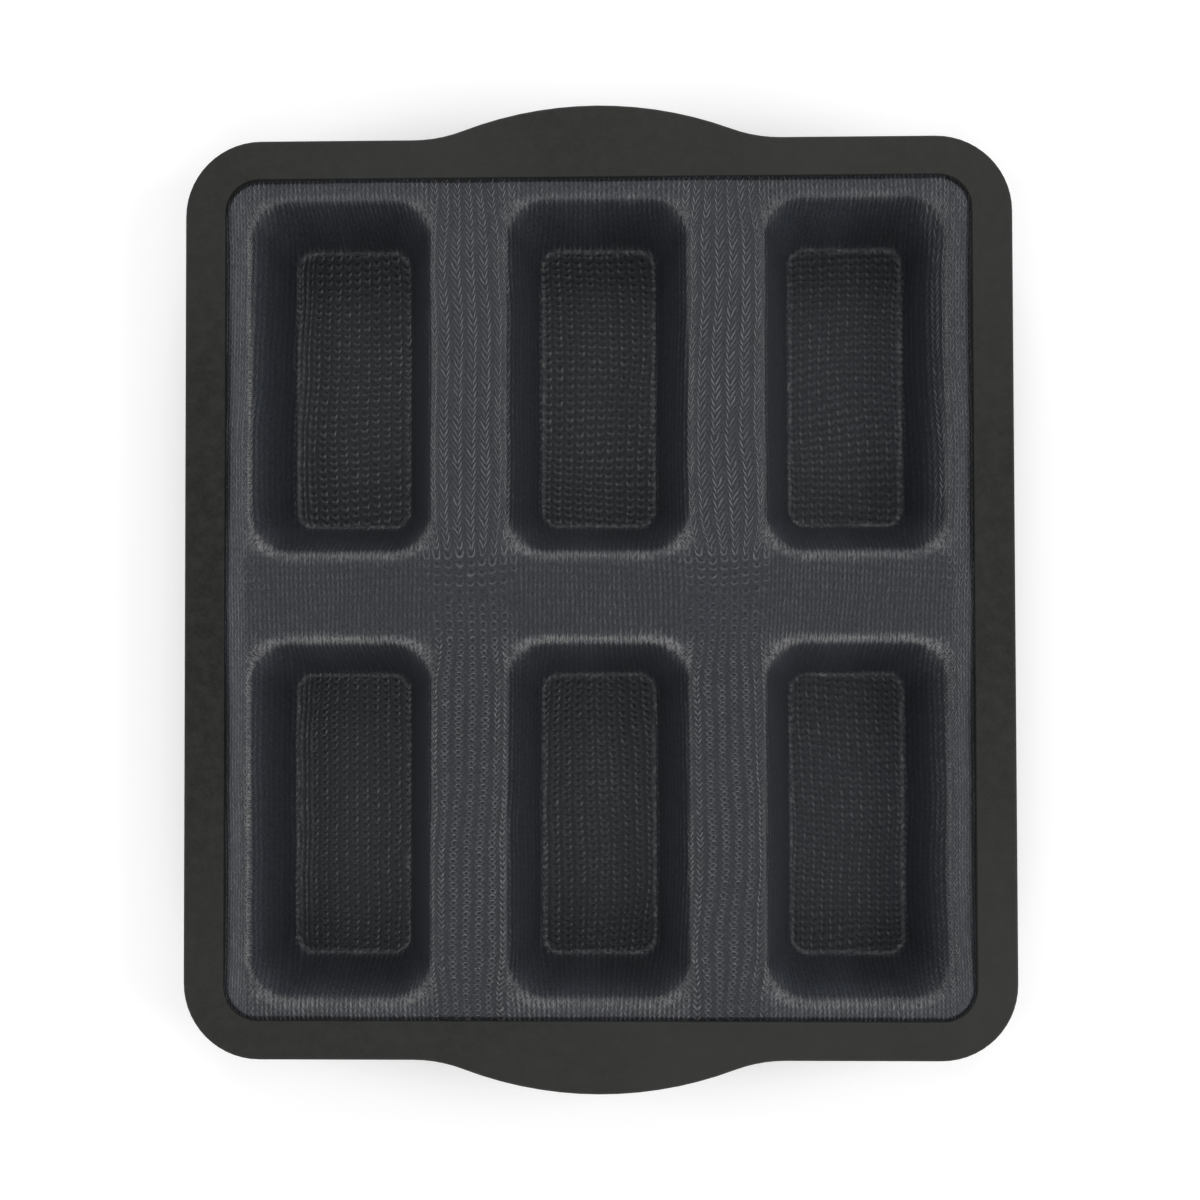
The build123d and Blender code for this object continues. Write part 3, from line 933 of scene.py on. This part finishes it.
    # The back shows rows of arcs.
    swing = n.math("COSINE", n.math("MULTIPLY", u, 2 * math.pi))
    arc = n.math("MULTIPLY_ADD", swing, PURL_SWING, v)
    arc = n.math("COSINE", n.math("MULTIPLY", arc, 2 * math.pi))
    arc = n.math("MULTIPLY", n.ramp(-0.2, 1.0, arc), n.math("MULTIPLY_ADD", swing, 0.25, 0.75))
    front = n.math("SUBTRACT", 1.0, back)
    pattern = n.math("ADD", n.math("MULTIPLY", face, front), n.math("MULTIPLY", arc, back))

    # Painted highlights: glints in short strokes across the wells' shoulders and round their
    # floors.
    cloudy = n.noise(place, CLOUD_SCALE, 3.0)
    strokes = n.combine(n.math("MULTIPLY", around, 1.9), n.math("MULTIPLY", out, 0.42), 0.0)
    across = n.math("MULTIPLY", n.ramp(0.40, 0.66, n.noise(strokes, 1.0, 3.0, 0.6)), shoulder)
    fuzz = n.math("MULTIPLY_ADD", fibre, 1.1, 0.45)
    across = n.math("MULTIPLY", across, n.math("MULTIPLY", front, fuzz))
    floor_strokes = n.ramp(0.46, 0.66, n.noise(place, GLINT_SCALE, 2.0))
    around_floor = n.math("MULTIPLY", floor_strokes, foot)
    glints = n.math("ADD", n.math("MULTIPLY", across, 0.85), n.math("MULTIPLY", around_floor, 0.45))

    # Painted highlight: the yarn's strokes are drawn lighter as glints, stronger on some legs than
    # others at random and stronger still near the shoulders.
    gain = n.math("MULTIPLY_ADD", luck, 0.80, 0.40)
    gain = n.math("MULTIPLY", gain, n.math("MULTIPLY_ADD", fibre, 1.3, 0.35))
    shown = n.math("MULTIPLY", n.math("MULTIPLY", pattern, yarn), gain)
    shown = n.math("MULTIPLY", shown, n.math("MULTIPLY_ADD", shoulder, 1.5, 1.0), clamp=True)

    smooth_coat = n.math("MULTIPLY", n.math("SUBTRACT", 1.0, yarn, clamp=True), 0.8)
    base = n.mix(smooth_coat, COAT_DARK, COAT_BLUE)
    # Painted light and shade: the coat is lightened on the bars and side lands and darkened on the
    # walls and floors, on the face only.
    base = n.scaled(base, n.math("MULTIPLY_ADD", front, n.math("SUBTRACT", tone, 1.0), 1.0))
    base = n.mix(n.math("MULTIPLY", cloudy, 0.35), base, MOTTLE_AND_PORE_SHADE)
    grain = n.math("ADD", n.noise(place, GRAIN_SCALE, 2.0, 0.6), fibre)
    base = n.scaled(base, n.ramp(0.72, 1.28, grain, 0.55, 1.45))
    # Painted shade: pores, and the valleys between the legs, are darkened with the shade that falls
    # in them.
    dark = n.math("MULTIPLY", n.math("MULTIPLY", holes, pore), front)
    valley_shade = n.math("MULTIPLY", n.math("MULTIPLY", shut, 0.35), n.math("MULTIPLY", yarn, front))
    colour = n.mix(n.math("MAXIMUM", dark, valley_shade), base, MOTTLE_AND_PORE_SHADE)
    colour = n.mix(shown, colour, YARN_GLINT)
    colour = n.mix(glints, colour, GLINT_WHITE)
    n.link(colour, n.shader.inputs["Base Color"])

    n.link(n.math("MULTIPLY_ADD", cloudy, 0.16, 0.46), n.shader.inputs["Roughness"])
    n.shader.inputs["IOR"].default_value = SILICONE_IOR
    height = n.math("SUBTRACT", n.math("MULTIPLY", pattern, yarn), n.math("MULTIPLY", dark, 0.6))
    height = n.math("ADD", height, n.math("MULTIPLY", glints, 0.4))
    coarse = n.bump(height, STITCH_BUMP)
    n.link(n.bump(fibre, FIBRE_BUMP, normal=coarse), n.shader.inputs["Normal"])
    return n.material


def silicone_material():
    """Matt moulded silicone: dark olive grey, with a painted sheen, paler towards the tray's ends
    and on its right side.
    """
    n = Nodes("rim_silicone")
    place = object_place(n)
    parts = n.add("ShaderNodeSeparateXYZ")
    n.link(place, parts.inputs[0])
    broad = n.noise(place, RIM_BROAD_SCALE, 3.0)
    fine = n.noise(place, RIM_FINE_SCALE, 3.0, 0.6)
    # Painted sheen: lighter towards the ends and on the right side, mottled at random by the broad
    # noise.
    off_middle = n.math("ABSOLUTE", parts.outputs[1])
    sheen_and_mottle = n.ramp(0.01, 0.14, off_middle, 0.0, 0.55)
    sheen_and_mottle = n.math("ADD", sheen_and_mottle, n.ramp(-0.15, 0.15, parts.outputs[0], 0.0, 0.20))
    sheen_and_mottle = n.math("MULTIPLY_ADD", n.math("SUBTRACT", broad, 0.5), 0.9, sheen_and_mottle, clamp=True)
    tone = n.mix(sheen_and_mottle, RIM_DARK, RIM_SHEEN_AND_MOTTLE)
    blotch = n.noise(place, RIM_BLOTCH_SCALE, 2.0)
    tone = n.mix(n.ramp(0.35, 0.75, blotch, 0.0, 0.34), tone, RIM_BLOOM)
    tone = n.mix(n.ramp(0.30, 0.80, fine, 0.0, 0.40), tone, RIM_BLOOM)
    specks = n.add("ShaderNodeTexVoronoi")
    n.link(place, specks.inputs["Vector"])
    specks.inputs["Scale"].default_value = SPECK_SCALE
    dust = n.ramp(0.05, 0.02, specks.outputs["Distance"])
    dust = n.math("MULTIPLY", dust, n.ramp(0.62, 0.70, n.noise(place, SPECK_PATCH_SCALE)))
    n.link(n.mix(n.math("MULTIPLY", dust, 0.5), tone, DUST), n.shader.inputs["Base Color"])
    n.link(n.math("MULTIPLY_ADD", broad, 0.14, 0.55), n.shader.inputs["Roughness"])
    n.shader.inputs["IOR"].default_value = RIM_IOR
    grain = n.bump(fine, RIM_GRAIN_BUMP)
    n.link(n.bump(blotch, RIM_BLOTCH_BUMP, normal=grain), n.shader.inputs["Normal"])
    return n.material


def steel_material():
    """Stainless sheet with a fine, even grain."""
    n = Nodes("frame_steel")
    place = object_place(n)
    grain = n.noise(place, STEEL_SCALE, 3.0)
    n.link(n.mix(grain, STEEL_DARK, STEEL_LIGHT), n.shader.inputs["Base Color"])
    n.shader.inputs["Metallic"].default_value = 1.0
    n.link(n.math("MULTIPLY_ADD", grain, 0.15, 0.28), n.shader.inputs["Roughness"])
    n.link(n.bump(grain, STEEL_BUMP), n.shader.inputs["Normal"])
    return n.material


def floor_material():
    """White ground, lifted to the photo's white by a little glow."""
    n = Nodes("studio_floor")
    n.shader.inputs["Base Color"].default_value = (FLOOR_GREY, FLOOR_GREY, FLOOR_GREY, 1)
    n.shader.inputs["Roughness"].default_value = 0.8
    n.shader.inputs["Emission Color"].default_value = (1.0, 1.0, 1.0, 1)
    n.shader.inputs["Emission Strength"].default_value = FLOOR_GLOW
    return n.material


def set_node_material(node, material):
    """Gives a CAD node its material; its shape stays as it is."""
    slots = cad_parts[node].data.materials
    slots.clear()
    slots.append(material)


# ---------------------------------------------------------------- studio

LENS_MM, SENSOR_MM = 50.0, 36.0
CAMERA_PLACE_MM = (8.2, -27.1, 622.4)
CAMERA_TURN = tuple(math.radians(a) for a in (1.29, 1.23, -0.15))
CAMERA_SHIFT = (0.0122, 0.0298)
CLIP_NEAR, CLIP_FAR = 0.01, 20.0

# Softboxes stand at the sides and past the ends of the tray: x, y and power of each.
SIDE_AWAY, SIDE_FORWARD, END_AWAY = 1.3, -0.1, 1.4
SOFTBOXES = {
    "left": (-SIDE_AWAY, SIDE_FORWARD, 8.5), "right": (SIDE_AWAY, SIDE_FORWARD, 11.5),
    "front": (0.0, -END_AWAY, 9.0), "back": (0.0, END_AWAY, 10.5),
}
SOFTBOX_SIZE, SOFTBOX_HEIGHT = 1.0, 0.95
WORLD_STRENGTH = 0.30
FLOOR_REACH, FLOOR_GREY, FLOOR_GLOW = 4.0, 0.90, 0.22


def add_camera():
    """The photo's camera: above the tray, a little off its middle and nearly straight down."""
    data = bpy.data.cameras.new("camera")
    data.lens, data.sensor_width = LENS_MM, SENSOR_MM
    data.shift_x, data.shift_y = CAMERA_SHIFT
    data.clip_start, data.clip_end = CLIP_NEAR, CLIP_FAR
    camera = bpy.data.objects.new("camera", data)
    turn = (
        Matrix.Rotation(CAMERA_TURN[0], 4, "X")
        @ Matrix.Rotation(CAMERA_TURN[1], 4, "Y")
        @ Matrix.Rotation(CAMERA_TURN[2], 4, "Z")
    )
    camera.matrix_world = Matrix.Translation(Vector(CAMERA_PLACE_MM) * MM) @ turn
    bpy.context.scene.collection.objects.link(camera)
    bpy.context.scene.camera = camera


def add_softbox(name, place, size, power):
    """A square soft light that faces the middle of the tray."""
    data = bpy.data.lights.new(name, "AREA")
    data.shape, data.size, data.energy = "SQUARE", size, power
    light = bpy.data.objects.new(name, data)
    light.location = place
    light.rotation_euler = (-Vector(place)).to_track_quat("-Z", "Y").to_euler()
    bpy.context.scene.collection.objects.link(light)


def add_studio():
    """Four soft lights, an even sky and the white ground."""
    world = bpy.data.worlds.new("studio")
    bpy.context.scene.world = world
    world.use_nodes = True
    background = world.node_tree.nodes["Background"]
    background.inputs["Color"].default_value = (1.0, 1.0, 1.0, 1)
    background.inputs["Strength"].default_value = WORLD_STRENGTH
    for name, (x, y, power) in SOFTBOXES.items():
        add_softbox(f"{name}_softbox", (x, y, SOFTBOX_HEIGHT), SOFTBOX_SIZE, power)
    floor_mesh = bpy.data.meshes.new("studio_floor")
    signs = ((-1, -1), (1, -1), (1, 1), (-1, 1))
    corners = [(x * FLOOR_REACH, y * FLOOR_REACH, 0) for x, y in signs]
    floor_mesh.from_pydata(corners, [], [(0, 1, 2, 3)])
    floor_mesh.materials.append(floor_material())
    floor = bpy.data.objects.new("studio_floor", floor_mesh)
    bpy.context.scene.collection.objects.link(floor)
    bpy.context.scene.view_settings.view_transform = "Standard"


# ---------------------------------------------------------------- putting it together

add_camera()
add_studio()
build_liner(knit_material())
silicone = silicone_material()
for rim_node in ("rim_upper", "rim_lower"):
    set_node_material(rim_node, silicone)
set_node_material("steel_frame", steel_material())
